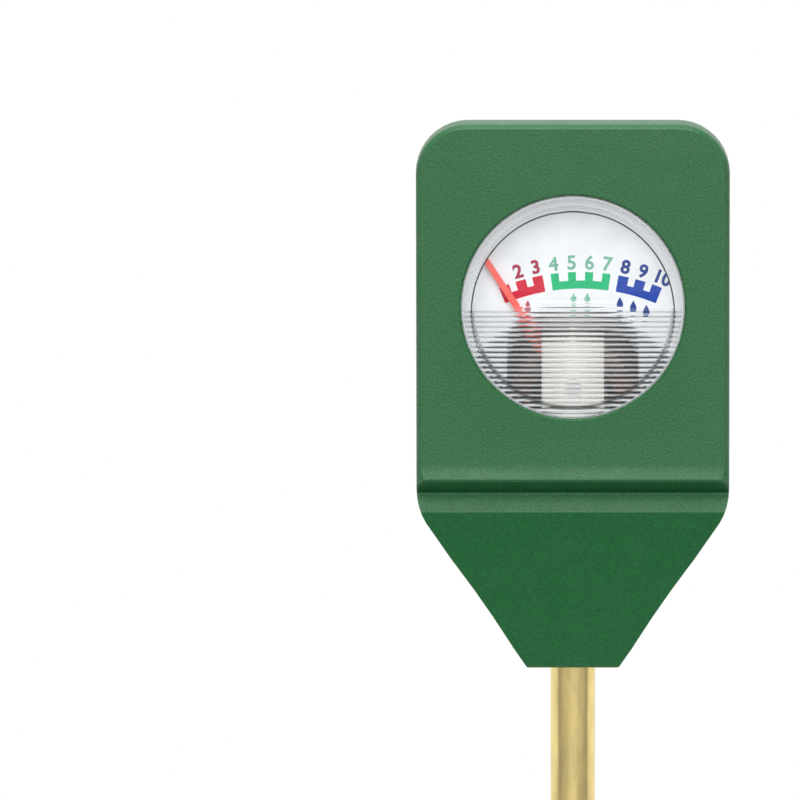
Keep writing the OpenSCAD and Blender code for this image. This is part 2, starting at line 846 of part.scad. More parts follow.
// A round tube swept along a route, as one closed solid.
module swept(route, r, sides = 8) {
    last = len(route) - 1;
    rings = [
        for (i = [0 : last])
            let (
                ahead = route[min(i + 1, last)] - route[max(i - 1, 0)],
                w = ahead / norm(ahead),
                side = cross(w, [1, 0.01, 0]),
                u = side / norm(side),
                v = cross(w, u)
            )
            for (s = [0 : sides - 1])
                route[i] + r * (u * cos(360 * s / sides) + v * sin(360 * s / sides))
    ];
    polyhedron(rings, [
        [for (s = [0 : sides - 1]) s],
        for (i = [0 : last - 1], s = [0 : sides - 1])
            let (a = i * sides + s, b = i * sides + (s + 1) % sides)
            [a, a + sides, b + sides, b],
        [for (s = [sides - 1 : -1 : 0]) last * sides + s]
    ]);
}

// A smooth route through points: a few steps between each pair.
function eased(points, steps = 5) = [
    for (i = [0 : len(points) - 2])
        let (
            p0 = points[max(i - 1, 0)],
            p1 = points[i],
            p2 = points[i + 1],
            p3 = points[min(i + 2, len(points) - 1)]
        )
        for (s = [0 : (i == len(points) - 2 ? steps : steps - 1)])
            let (t = s / steps)
            0.5 * (2 * p1 + (p2 - p0) * t + (2 * p0 - 5 * p1 + 4 * p2 - p3) * t * t
                + (3 * p1 - p0 - 3 * p2 + p3) * t * t * t)
];

module lead_red() {
    color("firebrick") swept(eased(red_route), lead_r);
}

module lead_black() {
    color("black") swept(eased(black_route), lead_r);
}

module probe_tube() {
    color("goldenrod") difference() {
        union() {
            translate([0, 0, -tube_out]) cylinder(r = tube_r, h = tube_out);
            cylinder(r = neck_r, h = tube_in);
        }
        translate([0, 0, -tube_out - 1]) cylinder(r = bore_r, h = tube_out + tube_in + 2);
    }
}

module tip_insulator() {
    color("ivory") difference() {
        union() {
            translate([0, 0, ring_z]) cylinder(r = tube_r, h = ring_h);
            translate([0, 0, -tube_out]) cylinder(r = spigot_r, h = spigot_len);
        }
        translate([0, 0, ring_z - 1]) cylinder(r = rod_r + pivot_gap, h = ring_h + spigot_len + 2);
    }
}

module probe_tip() {
    cone = tip_len - tip_straight;
    color("silver") difference() {
        union() {
            translate([0, 0, ring_z - tip_straight]) cylinder(r = tube_r, h = tip_straight);
            translate([0, 0, ring_z - tip_len + tip_point_r])
                cylinder(r1 = tip_point_r, r2 = tube_r, h = cone - tip_point_r);
            translate([0, 0, ring_z - tip_len + tip_point_r]) sphere(tip_point_r);
        }
        translate([0, 0, ring_z - tip_straight]) cylinder(r = rod_r, h = tip_straight + 1);
    }
}

module inner_rod() {
    color("silver") translate([0, 0, ring_z - tip_straight])
        cylinder(r = rod_r, h = rod_top - ring_z + tip_straight);
}

module rod_bush() {
    color("ivory") difference() {
        union() {
            translate([0, 0, tube_in - spigot_len]) cylinder(r = spigot_r, h = spigot_len);
            translate([0, 0, tube_in]) cylinder(r = neck_r, h = bush_flange_h);
        }
        translate([0, 0, tube_in - spigot_len - 1])
            cylinder(r = rod_r + pivot_gap, h = spigot_len + bush_flange_h + 2);
    }
}

module rod_lug() {
    color("gold") translate([0, 0, tube_in + bush_flange_h]) linear_extrude(lug_t) difference() {
        hull() {
            circle(lug_r, $fn = 32);
            translate([0, lug_reach]) circle(tag_end_r, $fn = 32);
        }
        circle(rod_r + screw_gap);
        translate([0, lug_reach]) circle(lug_hole_r);
    }
}

module rod_nut() {
    color("silver") translate([0, 0, tube_in + bush_flange_h + lug_t]) difference() {
        cylinder(r = nut_r, h = nut_h, $fn = 6);
        translate([0, 0, -1]) cylinder(r = rod_r + screw_gap, h = nut_h + 2);
    }
}

module tube_lug() {
    color("gold") translate([0, 0, tube_lug_z]) linear_extrude(tube_lug_h) {
        difference() {
            circle(neck_r + lug_t);
            circle(neck_r);
        }
        translate([lead_r - lug_reach, -tab_w / 2])
            square([lug_reach - lead_r - neck_r - lug_t / 2, tab_w]);
    }
}

module probe_clip() {
    color("silver") translate([0, 0, clip_low]) linear_extrude(clip_t) difference() {
        circle(neck_r + clip_w);
        circle(neck_r);
        translate([0, -clip_slit / 2]) square([neck_r + clip_w + 1, clip_slit]);
    }
}

front_shell();
rear_cover();
case_screws();
lens();
dial_plate();
meter_tub();
movement_screws();
yoke_ring();
core_magnet();
core_brackets();
front_bridge();
rear_bridge();
bridge_screws();
jewel_screw_front();
jewel_screw_rear();
coil_former();
moving_coil();
pivot_staffs();
pointer();
balance_weights();
hairspring_front();
hairspring_rear();
spring_studs();
stop_pins();
solder_tags();
lead_red();
lead_black();
probe_tube();
tip_insulator();
probe_tip();
inner_rod();
rod_bush();
rod_lug();
rod_nut();
tube_lug();
probe_clip();
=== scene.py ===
# Soil moisture meter: finishes of the CAD nodes, the ribbed lens, the printed scale
# and the studio. Lengths are in metres, and mm() turns millimetres into them.
import json
import math

import bmesh
import bpy
from mathutils import Matrix, Vector


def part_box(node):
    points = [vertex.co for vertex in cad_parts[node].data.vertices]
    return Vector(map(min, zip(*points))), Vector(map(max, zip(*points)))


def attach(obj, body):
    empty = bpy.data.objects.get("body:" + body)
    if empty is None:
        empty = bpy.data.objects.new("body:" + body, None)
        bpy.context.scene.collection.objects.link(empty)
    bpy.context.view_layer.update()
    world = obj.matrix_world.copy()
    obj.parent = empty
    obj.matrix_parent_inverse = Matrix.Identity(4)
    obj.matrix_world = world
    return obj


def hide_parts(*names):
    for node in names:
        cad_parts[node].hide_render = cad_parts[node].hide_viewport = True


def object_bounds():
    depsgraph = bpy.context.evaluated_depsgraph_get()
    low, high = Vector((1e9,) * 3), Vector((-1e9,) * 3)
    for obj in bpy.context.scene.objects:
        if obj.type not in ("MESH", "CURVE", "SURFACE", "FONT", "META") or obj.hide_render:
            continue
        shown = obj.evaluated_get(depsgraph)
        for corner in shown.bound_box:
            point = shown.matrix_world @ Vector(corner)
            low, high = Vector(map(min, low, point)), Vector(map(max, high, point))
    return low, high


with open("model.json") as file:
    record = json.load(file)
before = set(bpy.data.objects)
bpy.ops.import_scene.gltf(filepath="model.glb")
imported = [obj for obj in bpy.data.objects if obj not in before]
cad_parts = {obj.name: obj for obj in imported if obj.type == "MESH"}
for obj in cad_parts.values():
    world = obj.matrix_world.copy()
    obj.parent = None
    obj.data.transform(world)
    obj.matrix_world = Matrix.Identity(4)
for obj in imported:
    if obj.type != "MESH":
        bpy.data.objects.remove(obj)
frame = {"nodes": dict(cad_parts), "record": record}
cad_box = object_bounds()
nodes = frame["nodes"]
BODY = "meter"


def mm(value):
    return value * 0.001


# ---------------------------------------------------------------- places and sizes
dial_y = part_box("dial_plate")[0].y
lens_low, lens_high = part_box("lens")
face_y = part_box("front_shell")[0].y
axis_z = (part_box("yoke_ring")[0].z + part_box("yoke_ring")[1].z) / 2
window = Vector((0, 0, (lens_low.z + lens_high.z) / 2))

# The lens as in the CAD model, with a finer rim and skirt edge.
LENS_R = mm(14.6)
LENS_RIM_ROUND = mm(0.3)
LENS_DOME = mm(0.4)
LENS_WALL = mm(1.7)
LENS_FLANGE_T = mm(1.0)
SKIRT_R = mm(13.2)
SKIRT_DROP = mm(0.8)
SKIRT_BEVEL = mm(0.16)
RIB_PITCH = mm(0.67)
RIB_DEPTH = mm(0.2)
RIB_START = mm(1.8)
RIB_SLOPE = 0.066

# Painted shade and highlights of the ribs: how strong they are where the dome is too low for
# full grooves and only painted ribs lie, after how many ribs these faint ones begin, how dark
# the painted shade in the grooves is in the middle and how much more at SIDE_X beside it, and
# how narrow the painted highlights on the crests are.
FAINT_RIBS = 0.6
FAINT_AFTER = 2.7
GROOVE_SHADE, GROOVE_SHADE_SIDE = 0.6, 0.6
SIDE_X = mm(9)
CREST_POWER = 1.8
# Masks on the lens's front. The dark circle, a painted shadow over the skirt's edge, lies a
# little inside it and steps outwards in each groove. It fades to both sides from a level above
# 1, so its middle is solid. The haze, a frosted white that also paints the shaded ring paler,
# begins a little outside the skirt.
CIRCLE_IN = mm(0.05)
CIRCLE_STEP = mm(0.35)
CIRCLE_FADE, CIRCLE_LEVEL = mm(0.32), 1.3
HAZE_OUT, HAZE_FADE = mm(0.12), mm(0.1)
# Names of the lens mesh's float layers, which its material reads. Most of them mark painted
# shade and highlights.
LENS_SHADES = ("front", "groove", "crest_highlight", "ribbed", "frost_and_highlight", "line")

# Mesh of the lens: columns across, distance between the rows above the ribs, rows per rib,
# distance of the first and last rows from the edge, and width of the skirt's blend rings.
LENS_COLUMNS = 56
PLAIN_ROW = mm(0.35)
ROWS_PER_RIB = 10
EDGE_ROW = mm(0.02)
BLEND_W = mm(0.02)

# The scale's centre lies below and beside the pointer's axis.
SCALE_DROP = mm(12.67)
SCALE_SHIFT = mm(1.0)
# The angle from one number to the next, and the middle of the numbers 1 to 10. Then radii
# and heights of the combs, the numbers and the drops, measured from the scale's centre.
STEP = math.radians(4.62)
MIDDLE_DIGIT = 5.5
BAND_IN, BAND_OUT, TOOTH_OUT = mm(26.02), mm(27.08), mm(28.2)
BAND_STEPS = 16
DIGIT_R, DIGIT_H = mm(29.45), mm(1.86)
ICON_R, ICON_H = mm(24.75), mm(1.5)
ICON_STEP = 0.9 * STEP
INK_T = mm(0.02)
# Steps by which the first and the last number sit outside their teeth.
END_SHIFT = {1: -0.2, 10: 0.2}
# A drop's half width as a share of its height, and how pointed its top is.
DROP_HALF_W, DROP_POINT = 0.42, 1.6

# How much the pointer is widened to each side, and the angles in degrees up to which edges
# are smoothed.
POINTER_PAINT = mm(0.17)
SMOOTH_CAD, SMOOTH_LENS = 35, 40

# Where the camera stands: its distance from the face, its elevation in degrees, the width
# that it sees at the face, the height that it looks at, and how far the meter stands right
# of the picture's middle.
CAMERA_DISTANCE = 0.76
CAMERA_ELEVATION = 4
VIEW_WIDTH = mm(104.6)
VIEW_Z = mm(36.3)
VIEW_SHIFT = mm(22.6)
SENSOR_WIDTH = 36

# Lamps: place, width, height and power in watts. All aim at LAMP_AIM.
LAMP_AIM = (0, 0, mm(35))
LAMPS = {
    "key": ((-0.12, -0.98, 0.64), 1.1, 0.8, 8),
    "fill": ((0.1, -1.1, 0.3), 0.6, 0.6, 1.6),
    "top": ((0, -0.1, 1.2), 0.8, 0.8, 6),
}

# Brightness round the studio from the front to the back, and from below to above, and the
# share of white that shiny surfaces see from the front to the back.
STUDIO_AROUND = [
    (0, 0.84), (0.08, 0.74), (0.2, 0.62), (0.36, 0.42), (0.41, 0.55), (0.48, 1), (1, 1),
]
STUDIO_HEIGHT = [(0, 0.14), (0.33, 0.14), (0.455, 1), (1, 1)]
STUDIO_BACK = [(0.5, 0), (0.6, 1)]

# The floor's disc: its radius, its distance below the tip, where it starts and ends to fade
# as shares of the radius, and its level for the rays that don't show the background.
FLOOR_R = 0.18
FLOOR_GAP = mm(0.2)
FLOOR_FADE = (0.65, 0.97)
FLOOR_UNSEEN = 0.25


# ---------------------------------------------------------------- material helpers
def srgb(r, g, b):
    """A display colour in 0 to 255, as linear light with full alpha."""

    def linear(v):
        v /= 255
        return v / 12.92 if v <= 0.04045 else ((v + 0.055) / 1.055) ** 2.4

    return (linear(r), linear(g), linear(b), 1)


def adder(tree):
    """A short call that adds a node to a tree."""

    def add(kind, **values):
        made = tree.nodes.new(kind)
        for key, value in values.items():
            setattr(made, key, value)
        return made

    return add


class Paint:
    """A material with one Principled shader, and short calls for its procedural detail."""

    def __init__(self, name, colour, roughness, metallic=0.0, ior=1.46):
        self.material = bpy.data.materials.new(name)
        self.material.use_nodes = True
        self.tree = self.material.node_tree
        self.node = adder(self.tree)
        self.link = self.tree.links.new
        self.shader = self.tree.nodes["Principled BSDF"]
        self.colour = colour
        self.shader.inputs["Base Color"].default_value = colour
        self.shader.inputs["Roughness"].default_value = roughness
        self.shader.inputs["Metallic"].default_value = metallic
        self.shader.inputs["IOR"].default_value = ior
        self.coords = self.node("ShaderNodeTexCoord").outputs["Object"]
        self.height = None

    def math(self, operation, *values, clamp=False):
        """The result of a Math node on sockets and plain numbers."""
        made = self.node("ShaderNodeMath", operation=operation, use_clamp=clamp)
        for socket, value in zip(made.inputs, values):
            if isinstance(value, (int, float)):
                socket.default_value = value
            else:
                self.link(value, socket)
        return made.outputs["Value"]

    def rise(self, value, start, width):
        """0 where the value is below the start, and 1 from a width above it on."""
        return self.math("MULTIPLY_ADD", value, 1 / width, -start / width, clamp=True)

    def away(self, place=(0, 0, 0), plane=(1, 0, 1)):
        """Distance from a place, measured in a plane."""
        flat = self.node("ShaderNodeVectorMath", operation="MULTIPLY_ADD")
        flat.inputs[1].default_value = plane
        flat.inputs[2].default_value = [-a * b for a, b in zip(place, plane)]
        length = self.node("ShaderNodeVectorMath", operation="LENGTH")
        self.link(self.coords, flat.inputs[0])
        self.link(flat.outputs["Vector"], length.inputs[0])
        return length.outputs["Value"]

    def mixed(self, share, first, second):
        """A share of the second surface over the first."""
        mix = self.node("ShaderNodeMixShader")
        self.link(share, mix.inputs["Fac"])
        self.link(first, mix.inputs[1])
        self.link(second, mix.inputs[2])
        return mix.outputs["Shader"]

    def show(self, surface):
        """Makes a surface the material's own."""
        self.link(surface, self.tree.nodes["Material Output"].inputs["Surface"])

    def noise(self, size, detail=3.0, stretch=(1, 1, 1)):
        """Noise whose features are about `size` metres across, from 0 to 1."""
        mapping = self.node("ShaderNodeMapping")
        mapping.inputs["Scale"].default_value = stretch
        texture = self.node("ShaderNodeTexNoise")
        texture.inputs["Scale"].default_value = 1 / size
        texture.inputs["Detail"].default_value = detail
        self.link(self.coords, mapping.inputs["Vector"])
        self.link(mapping.outputs["Vector"], texture.inputs["Vector"])
        return texture.outputs["Fac"]

    def ramp(self, value, low, high, at=(0.3, 0.7)):
        """Maps a value onto the colours from low to high."""
        ramp = self.node("ShaderNodeValToRGB")
        ramp.color_ramp.elements[0].position, ramp.color_ramp.elements[1].position = at
        ramp.color_ramp.elements[0].color = low
        ramp.color_ramp.elements[1].color = high
        self.link(value, ramp.inputs["Fac"])
        return ramp.outputs["Color"]

    def mottle(self, size, amount, stretch=(1, 1, 1)):
        """Varies the base colour by a share of its brightness."""
        low = [c * (1 - amount) for c in self.colour[:3]] + [1]
        high = [min(1, c * (1 + amount)) for c in self.colour[:3]] + [1]
        colours = self.ramp(self.noise(size, 4.0, stretch), low, high)
        self.link(colours, self.shader.inputs["Base Color"])

    def wear(self, size, low, high, stretch=(1, 1, 1)):
        """Varies the roughness between two values."""
        low, high = (low, low, low, 1), (high, high, high, 1)
        value = self.ramp(self.noise(size, 4.0, stretch), low, high)
        self.link(value, self.shader.inputs["Roughness"])

    def bump(self, value, depth):
        """Adds a height in metres to the surface's relief."""
        bump = self.node("ShaderNodeBump")
        bump.inputs["Distance"].default_value = depth
        bump.inputs["Strength"].default_value = 1
        self.link(value, bump.inputs["Height"])
        if self.height:
            self.link(self.height, bump.inputs["Normal"])
        self.height = bump.outputs["Normal"]
        self.link(self.height, self.shader.inputs["Normal"])

    def grain(self, size, depth, stretch=(1, 1, 1)):
        """Fine relief whose bumps are about `size` metres across."""
        self.bump(self.noise(size, 2.0, stretch), depth)


# ---------------------------------------------------------------- materials
def green_plastic():
    """Moulded plastic with a fine eroded grain and faint flow marks."""
    paint = Paint("green_plastic", srgb(24, 95, 48), 0.4, ior=1.5)
    paint.shader.inputs["Specular IOR Level"].default_value = 0.42
    paint.mottle(mm(0.3), 0.26)
    paint.wear(mm(4), 0.36, 0.45)
    paint.grain(mm(0.24), mm(0.03))
    return paint.material


def lens_masks(paint, shade):
    """Two masks on the lens's front, by the distance from its axis: a thin circle of painted
    shadow over the skirt's edge that steps from rib to rib, and the hazy ring outside the skirt,
    which also paints the shaded ring paler."""
    radius = paint.away(window)
    stepped = paint.math("MULTIPLY_ADD", shade["groove"], -CIRCLE_STEP, radius)
    off = paint.math("ABSOLUTE", paint.math("SUBTRACT", stepped, SKIRT_R - CIRCLE_IN))
    near = paint.math("MULTIPLY_ADD", off, -1 / CIRCLE_FADE, CIRCLE_LEVEL, clamp=True)
    circle = paint.math("MULTIPLY", near, shade["ribbed"])
    plain = paint.math("SUBTRACT", shade["front"], shade["ribbed"], clamp=True)
    haze_and_painted_light = paint.math("MULTIPLY", paint.rise(radius, SKIRT_R + HAZE_OUT, HAZE_FADE), plain)
    return circle, haze_and_painted_light


def clear_plastic():
    """Clear moulded plastic. Light that only passes through it isn't bent, but the grooves
    dim it. Painted highlights lie on the ribs' crests, a frosted white paints the rim's
    highlight, the flange is frosted, and a hazy ring outside the skirt paints the shaded ring
    paler. Painted shade darkens the grooves, and a painted shadow the skirt's edge."""
    paint = Paint("clear_plastic", srgb(252, 253, 254), 0.03, ior=1.49)
    paint.shader.inputs["Transmission Weight"].default_value = 1
    paint.shader.inputs["Specular Tint"].default_value = (0.4, 0.4, 0.4, 1)
    paint.grain(mm(1.5), mm(0.002))
    shade = {}
    for name in LENS_SHADES:
        shade[name] = paint.node("ShaderNodeAttribute", attribute_name=name).outputs["Fac"]
    # Painted shade: the clear plastic darkens towards the bottoms of the grooves.
    grooves = paint.ramp(shade["groove"], srgb(252, 253, 254), srgb(34, 36, 40), at=(0.15, 0.9))
    paint.link(grooves, paint.shader.inputs["Base Color"])
    smooth, ribbed = (0.03, 0.03, 0.03, 1), (0.14, 0.14, 0.14, 1)
    blur = paint.ramp(shade["ribbed"], smooth, ribbed, at=(0, 1))
    paint.link(blur, paint.shader.inputs["Roughness"])

    def layer(colour, roughness):
        made = paint.node("ShaderNodeBsdfPrincipled")
        made.inputs["Base Color"].default_value = colour
        made.inputs["Roughness"].default_value = roughness
        return made.outputs["BSDF"]

    # Covers: a frosted white, which also paints the shaded ring paler and the rim's highlight; a
    # pale one for the painted highlights on the crests; and a dark one for painted shade.
    frosted = layer(srgb(222, 225, 228), 0.4)
    crest_highlight = layer(srgb(204, 207, 210), 0.35)
    painted_shade_layer = layer(srgb(70, 73, 76), 0.4)
    circle, haze_and_painted_light = lens_masks(paint, shade)
    surface = paint.shader.outputs["BSDF"]
    # What covers the clear plastic: where, by how much at most, and with what.
    for where, share, cover in (
        (haze_and_painted_light, 0.4, frosted),
        (shade["crest_highlight"], 0.74, crest_highlight),
        (shade["frost_and_highlight"], 0.85, frosted),
        (shade["line"], 1, painted_shade_layer),
        (circle, 0.9, painted_shade_layer),
    ):
        surface = paint.mixed(paint.math("MULTIPLY", where, share), surface, cover)

    path = paint.node("ShaderNodeLightPath")
    straight = paint.math("MAXIMUM", path.outputs["Is Shadow Ray"], path.outputs["Is Diffuse Ray"])
    through = paint.node("ShaderNodeBsdfTransparent")
    dimmed = paint.ramp(shade["groove"], (1, 1, 1, 1), (0.8, 0.81, 0.82, 1), at=(0.2, 1))
    paint.link(dimmed, through.inputs["Color"])
    paint.show(paint.mixed(straight, surface, through.outputs["BSDF"]))
    return paint.material


def moulded(name, colour, roughness=0.45, grain=0.006):
    """Moulded plastic with a light grain, whose depth is in millimetres."""
    paint = Paint(name, colour, roughness)
    paint.mottle(mm(3), 0.04)
    paint.grain(mm(0.25), mm(grain))
    return paint.material


def brass():
    """Drawn brass tube: fine lengthwise lines and a slight tarnish."""
    paint = Paint("brass", srgb(238, 215, 147), 0.2, metallic=1.0)
    paint.mottle(mm(1.2), 0.12, stretch=(1, 1, 0.25))
    paint.wear(mm(2), 0.16, 0.28, stretch=(1, 1, 0.15))
    paint.grain(mm(0.2), mm(0.01), stretch=(1, 1, 0.1))
    return paint.material


def metal(name, colour, roughness, stretch=(1, 1, 1)):
    """Plain metal, with marks along the stretch."""
    paint = Paint(name, colour, roughness, metallic=1.0)
    paint.mottle(mm(2), 0.08)
    paint.wear(mm(1), roughness * 0.8, min(1, roughness * 1.3), stretch)
    paint.grain(mm(0.1), mm(0.003), stretch)
    return paint.material


def dark_steel():
    """Blackened soft iron with brown and coppery heat tints, paler towards the top."""
    paint = Paint("dark_steel", srgb(84, 72, 66), 0.45, metallic=1.0)
    black, copper = srgb(62, 58, 58), srgb(158, 100, 70)
    tints = paint.ramp(paint.noise(mm(3.5)), black, copper, at=(0.38, 0.64))
    split = paint.node("ShaderNodeSeparateXYZ")
    paint.link(paint.coords, split.inputs["Vector"])
    high = paint.rise(split.outputs["Z"], mm(40), mm(6))
    paler_top = paint.node("ShaderNodeMix", data_type="RGBA")
    paler_top.inputs["B"].default_value = srgb(196, 188, 180)
    paint.link(high, paler_top.inputs["Factor"])
    paint.link(tints, paler_top.inputs["A"])
    paint.link(paler_top.outputs["Result"], paint.shader.inputs["Base Color"])
    paint.grain(mm(0.3), mm(0.01))
    return paint.material


def copper_wire():
    """Layers of fine enamelled wire, side by side."""
    paint = Paint("copper_wire", srgb(190, 98, 52), 0.3, metallic=1.0)
    paint.mottle(mm(0.8), 0.15)
    wave = paint.node("ShaderNodeTexWave", bands_direction="X")
    wave.inputs["Scale"].default_value = 1 / mm(0.25)
    turned = paint.node("ShaderNodeMapping")
    turned.inputs["Rotation"].default_value = (0, math.radians(-37), 0)
    paint.link(paint.coords, turned.inputs["Vector"])
    paint.link(turned.outputs["Vector"], wave.inputs["Vector"])
    paint.bump(wave.outputs["Fac"], mm(0.03))
    return paint.material


def painted(name, colour):
    """A smooth coat of paint."""
    paint = Paint(name, colour, 0.35)
    paint.mottle(mm(1), 0.05)
    paint.grain(mm(0.2), mm(0.003))
    return paint.material


def ink(name, colour):
    """Screen-printed ink: flat, with a little unevenness."""
    paint = Paint(name, colour, 0.55)
    paint.shader.inputs["Specular IOR Level"].default_value = 0.1
    paint.mottle(mm(0.4), 0.08)
    return paint.material


MATERIALS = {
    "green_plastic": green_plastic(),
    "clear_plastic": clear_plastic(),
    "white_plastic": moulded("white_plastic", srgb(244, 247, 250), 0.4, 0.003),
    "grey_plastic": moulded("grey_plastic", srgb(222, 223, 230)),
    "cream_plastic": moulded("cream_plastic", srgb(246, 242, 232), 0.25),
    "ivory_nylon": moulded("ivory_nylon", srgb(224, 214, 184)),
    "steel": metal("steel", srgb(196, 196, 198), 0.28),
    "dark_steel": dark_steel(),
    "magnet": metal("magnet", srgb(110, 110, 112), 0.4),
    "brass": brass(),
    "bronze": metal("bronze", srgb(200, 150, 100), 0.3),
    "copper_wire": copper_wire(),
    "aluminium": metal("aluminium", srgb(205, 206, 210), 0.35),
    "red_paint": painted("red_paint", srgb(255, 92, 80)),
    "zinc": metal("zinc", srgb(176, 178, 182), 0.38, stretch=(0.2, 0.2, 1)),
    "red_insulation": moulded("red_insulation", srgb(176, 26, 20), 0.4),
    "black_insulation": moulded("black_insulation", srgb(22, 22, 23), 0.4),
}
SLOT_OF = {s["node"]: s["material_slot"] for s in frame["record"]["subparts"]}


# ---------------------------------------------------------------- smoothing of the CAD nodes
def modifier_group(name):
    """An empty group for a modifier, with its adder and its input and output nodes."""
    group = bpy.data.node_groups.new(name, "GeometryNodeTree")
    group.interface.new_socket("Geometry", in_out="INPUT", socket_type="NodeSocketGeometry")
    group.interface.new_socket("Geometry", in_out="OUTPUT", socket_type="NodeSocketGeometry")
    add = adder(group)
    return group, add, add("NodeGroupInput"), add("NodeGroupOutput")


def smoothing_group(limit):
    """A modifier group that welds the facets and smooths every edge below an angle."""
    group, add, start, end = modifier_group("smooth_by_angle")
    strip = add("GeometryNodeRemoveAttribute")
    strip.inputs["Name"].default_value = "custom_normal"
    weld = add("GeometryNodeMergeByDistance")
    weld.inputs["Distance"].default_value = mm(0.001)
    smooth = add("GeometryNodeSetShadeSmooth", domain="FACE")
    angle = add("GeometryNodeInputMeshEdgeAngle")
    sharp = add("FunctionNodeCompare", operation="GREATER_THAN")
    sharp.inputs["B"].default_value = math.radians(limit)
    crease = add("GeometryNodeSetShadeSmooth", domain="EDGE")
    crease.inputs["Shade Smooth"].default_value = False
    link = group.links.new
    link(start.outputs["Geometry"], strip.inputs["Geometry"])
    link(strip.outputs["Geometry"], weld.inputs["Geometry"])
    link(weld.outputs["Geometry"], smooth.inputs["Geometry"])
    link(smooth.outputs["Geometry"], crease.inputs["Geometry"])
    link(angle.outputs["Unsigned Angle"], sharp.inputs["A"])
    link(sharp.outputs["Result"], crease.inputs["Selection"])
    link(crease.outputs["Geometry"], end.inputs["Geometry"])
    return group


def swelling_group(amount):
    """A modifier group that widens a flat piece in the dial's plane, like a coat of paint."""
    group, add, start, end = modifier_group("swell")
    normal = add("GeometryNodeInputNormal")
    offset = add("ShaderNodeVectorMath", operation="MULTIPLY")
    offset.inputs[1].default_value = (amount, 0, amount)
    move = add("GeometryNodeSetPosition")
    link = group.links.new
    link(normal.outputs["Normal"], offset.inputs[0])
    link(offset.outputs["Vector"], move.inputs["Offset"])
    link(start.outputs["Geometry"], move.inputs["Geometry"])
    link(move.outputs["Geometry"], end.inputs["Geometry"])
    return group


def dress_cad_nodes():
    """Gives each CAD node its material and smooth curved faces."""
    group = smoothing_group(SMOOTH_CAD)
    for name, obj in nodes.items():
        obj.data.materials.clear()
        obj.data.materials.append(MATERIALS[SLOT_OF[name]])
        modifier = obj.modifiers.new("smooth", "NODES")
        modifier.node_group = group
    swell = nodes["pointer"].modifiers.new("swell", "NODES")
    swell.node_group = swelling_group(POINTER_PAINT)


# ---------------------------------------------------------------- new pieces
def place(mesh, name, material, slot):
    """Makes a piece that rides on the meter from a mesh in the row frame."""
    piece = bpy.data.objects.new(name, mesh)
    bpy.context.scene.collection.objects.link(piece)
    mesh.materials.append(material)
    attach(piece, BODY)
    return piece


def smooth_mesh(bm, limit):
    """Smooths every edge of a new mesh below an angle."""
    bmesh.ops.recalc_face_normals(bm, faces=bm.faces)
    for face in bm.faces:
        face.smooth = True
    for edge in bm.edges:
        edge.smooth = len(edge.link_faces) < 2 or edge.calc_face_angle(0) < math.radians(limit)


def finished(bm, name):
    """The mesh that a bmesh describes, which is freed."""
    mesh = bpy.data.meshes.new(name)
    bm.to_mesh(mesh)
    bm.free()
    return mesh


def dome_height(x, z):
    """Distance of the smooth dome before the rim plane, at a place from the lens's centre."""
    return LENS_DOME * (1 - (x * x + z * z) / (LENS_R * LENS_R))


def rib_wave(drop):
    """1 on the ribs' crests and 0 in their grooves, by the distance below the first rib."""
    return 0.5 + 0.5 * math.cos(2 * math.pi * drop / RIB_PITCH)


def lens_depth(x, z):
    """Distance of the lens's front surface before its rim plane, at a place from its centre."""
    dome = dome_height(x, z)
    drop = RIB_START - z
    if drop < 0:
        return dome
    return min(dome, LENS_DOME - RIB_SLOPE * drop + RIB_DEPTH * rib_wave(drop))


def rib_shades(x, z):
    """(The painted shade: 1 in the bottoms of the grooves; the painted highlights: 1 on the
    crests between full grooves; 1 where the ribs are), else 0. Where the dome is too low for full
    grooves these are faint, and painted only."""
    drop = RIB_START - z
    if drop < 0:
        return 0, 0, 0
    wave = rib_wave(drop)
    above = dome_height(x, z) - (LENS_DOME - RIB_SLOPE * drop)
    full = min(1, max(0, above / RIB_DEPTH))
    cut = min(1, max(0, above - RIB_DEPTH * wave) / RIB_DEPTH)
    faint = FAINT_RIBS * min(1, max(0, drop / RIB_PITCH - FAINT_AFTER))
    # Painted shade in the grooves, darker towards the sides.
    shade = GROOVE_SHADE + GROOVE_SHADE_SIDE * min(1, abs(x) / SIDE_X)
    groove = max(min(cut, 1 - wave), faint * (1 - wave))
    ribbed = max(full, faint)
    return groove * shade, ribbed * wave ** CREST_POWER, ribbed


def lens_rows(radius):
    """Heights of the mesh rows from top to bottom: close together where the ribs are."""
    rows = []
    z = radius - EDGE_ROW
    while z > 1.5 * EDGE_ROW - radius:
        rows.append(z)
        z -= PLAIN_ROW if z > RIB_START + PLAIN_ROW else RIB_PITCH / ROWS_PER_RIB
    return rows + [EDGE_ROW - radius]


